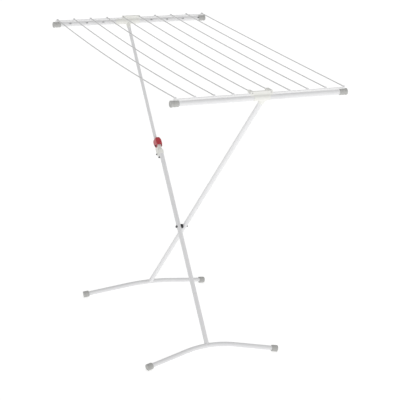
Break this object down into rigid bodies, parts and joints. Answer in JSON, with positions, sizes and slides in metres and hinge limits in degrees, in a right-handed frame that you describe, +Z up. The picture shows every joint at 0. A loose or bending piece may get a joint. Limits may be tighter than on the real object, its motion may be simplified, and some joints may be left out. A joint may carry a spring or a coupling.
{
  "type": "clothes drying rack",
  "caption": "Folding drying rack with crossed legs on arched feet, a telescopic leg with a clamp lever, and lines stretched between two rails.",
  "frame": {"origin": "on the floor under the middle of the rack's bounding box", "axes": "+Z up, +X along the rails to the right, -Y towards the front rail"},
  "size_m": [0.6024, 1.1258, 1.0215],
  "materials": {
    "white_paint": "smooth satin white powder coat",
    "white_plastic": "off-white moulded plastic",
    "grey_plastic": "light grey moulded plastic",
    "red_plastic": "red moulded plastic, soft gloss",
    "black_plastic": "black moulded plastic",
    "steel": "zinc-plated steel",
    "line_coating": "pale grey-white plastic-coated line"
  },
  "bodies": {
    "frame_a": {"rear_foot": "white_paint", "rear_foot_cap_left": "grey_plastic", "rear_foot_cap_right": "grey_plastic", "fixed_leg": "white_paint", "pivot_spacer": "black_plastic", "pivot_bolt": "steel", "pivot_nut_cap": "black_plastic", "front_rail": "white_paint", "front_rail_cap_left": "grey_plastic", "front_rail_cap_right": "grey_plastic", "front_bracket": "white_plastic", "drying_line_1": "line_coating", "drying_line_2": "line_coating", "drying_line_3": "line_coating", "drying_line_4": "line_coating", "drying_line_5": "line_coating", "drying_line_6": "line_coating", "drying_line_7": "line_coating", "drying_line_8": "line_coating", "drying_line_9": "line_coating", "drying_line_10": "line_coating"},
    "frame_b": {"front_foot": "white_paint", "front_foot_cap_left": "grey_plastic", "front_foot_cap_right": "grey_plastic", "outer_tube": "white_paint", "pivot_saddle": "black_plastic", "clamp_collar": "white_plastic", "collar_screw": "black_plastic", "lever_pin": "black_plastic", "clamp_pad": "black_plastic"},
    "sliding_frame": {"inner_tube": "white_paint", "inner_tube_plug": "black_plastic", "back_rail": "white_paint", "back_rail_cap_left": "grey_plastic", "back_rail_cap_right": "grey_plastic", "back_bracket": "white_plastic"},
    "lever": {"clamp_lever": "red_plastic"}
  },
  "joints": [
    {"name": "fold", "type": "hinge", "parent": "frame_a", "child": "frame_b", "pos_m": [0, -0.00806, 0.37572], "axis": [1, 0, 0], "range_deg": [0, 79], "deforming": ["drying_line_1", "drying_line_2", "drying_line_3", "drying_line_4", "drying_line_5", "drying_line_6", "drying_line_7", "drying_line_8", "drying_line_9", "drying_line_10"]},
    {"name": "tension_slide", "type": "slide", "parent": "frame_b", "child": "sliding_frame", "axis": [0, -0.6574, -0.7536], "range_m": [0, 0.06]},
    {"name": "clamp_lever", "type": "hinge", "parent": "frame_b", "child": "lever", "pos_m": [-0.0114, 0.2069, 0.60754], "axis": [1, 0, 0], "range_deg": [0, 60]}
  ]
}
